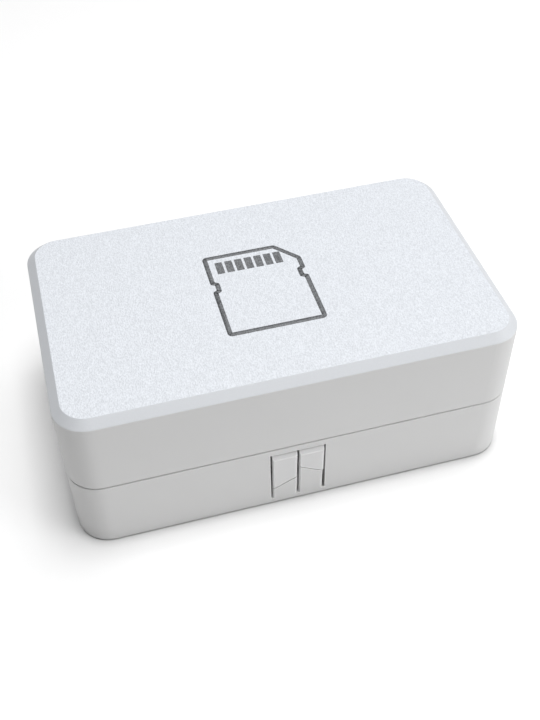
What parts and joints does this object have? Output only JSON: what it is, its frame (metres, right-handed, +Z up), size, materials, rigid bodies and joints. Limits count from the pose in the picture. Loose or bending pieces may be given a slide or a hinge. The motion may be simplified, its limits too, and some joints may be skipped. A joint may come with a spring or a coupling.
{
  "type": "memory card case",
  "caption": "Rigid hinged case with a bevelled lid, two press-tab latches in the front wall and comb racks that hold memory cards upright.",
  "frame": {"origin": "middle of the underside of the closed case", "axes": "+X to the right along the length, +Y from the latch side to the hinge side, +Z up"},
  "size_m": [0.115, 0.0755, 0.045],
  "materials": {
    "case_plastic": "satin moulded, fine grain on the lid's top",
    "button_plastic": "satin moulded",
    "hook_plastic": "natural acetal",
    "rack_plastic": "satin moulded",
    "pin_steel": "drawn wire",
    "screw_steel": "zinc plated",
    "spring_steel": "blue-grey strip"
  },
  "bodies": {
    "base": {"base_shell": "case_plastic", "hinge_pin_left": "pin_steel", "hinge_pin_right": "pin_steel", "latch_carrier": "case_plastic", "latch_carrier_screws": "screw_steel", "latch_pin": "pin_steel", "button_spring_left": "spring_steel", "button_spring_right": "spring_steel", "card_rack_left": "rack_plastic", "comb_left_outer": "rack_plastic", "comb_left_middle": "rack_plastic", "comb_left_inner": "rack_plastic", "card_rack_right": "rack_plastic", "comb_right_inner": "rack_plastic", "comb_right_middle": "rack_plastic", "comb_right_outer": "rack_plastic", "card_rack_screws": "screw_steel"},
    "lid": {"lid_shell": "case_plastic", "lid_catch_left": "hook_plastic", "lid_catch_right": "hook_plastic", "lid_catch_screws": "screw_steel"},
    "left_button": {"latch_button_left": "button_plastic"},
    "right_button": {"latch_button_right": "button_plastic"}
  },
  "joints": [
    {"name": "lid_hinge", "type": "hinge", "parent": "base", "child": "lid", "pos_m": [0, 0.0376, 0.0217], "axis": [-1, 0, 0], "range_deg": [0, 165], "deforming": ["lid_catch_left", "lid_catch_right"]},
    {"name": "left_button_press", "type": "hinge", "parent": "base", "child": "left_button", "pos_m": [-0.0044, -0.0322, 0.0055], "axis": [-1, 0, 0], "range_deg": [0, 8], "stiffness_Nm_per_rad": 0.15, "springref_deg": -2.29, "deforming": ["button_spring_left"]},
    {"name": "right_button_press", "type": "hinge", "parent": "base", "child": "right_button", "pos_m": [0.0027, -0.0322, 0.0055], "axis": [-1, 0, 0], "range_deg": [0, 8], "stiffness_Nm_per_rad": 0.15, "springref_deg": -2.29, "deforming": ["button_spring_right"]}
  ]
}
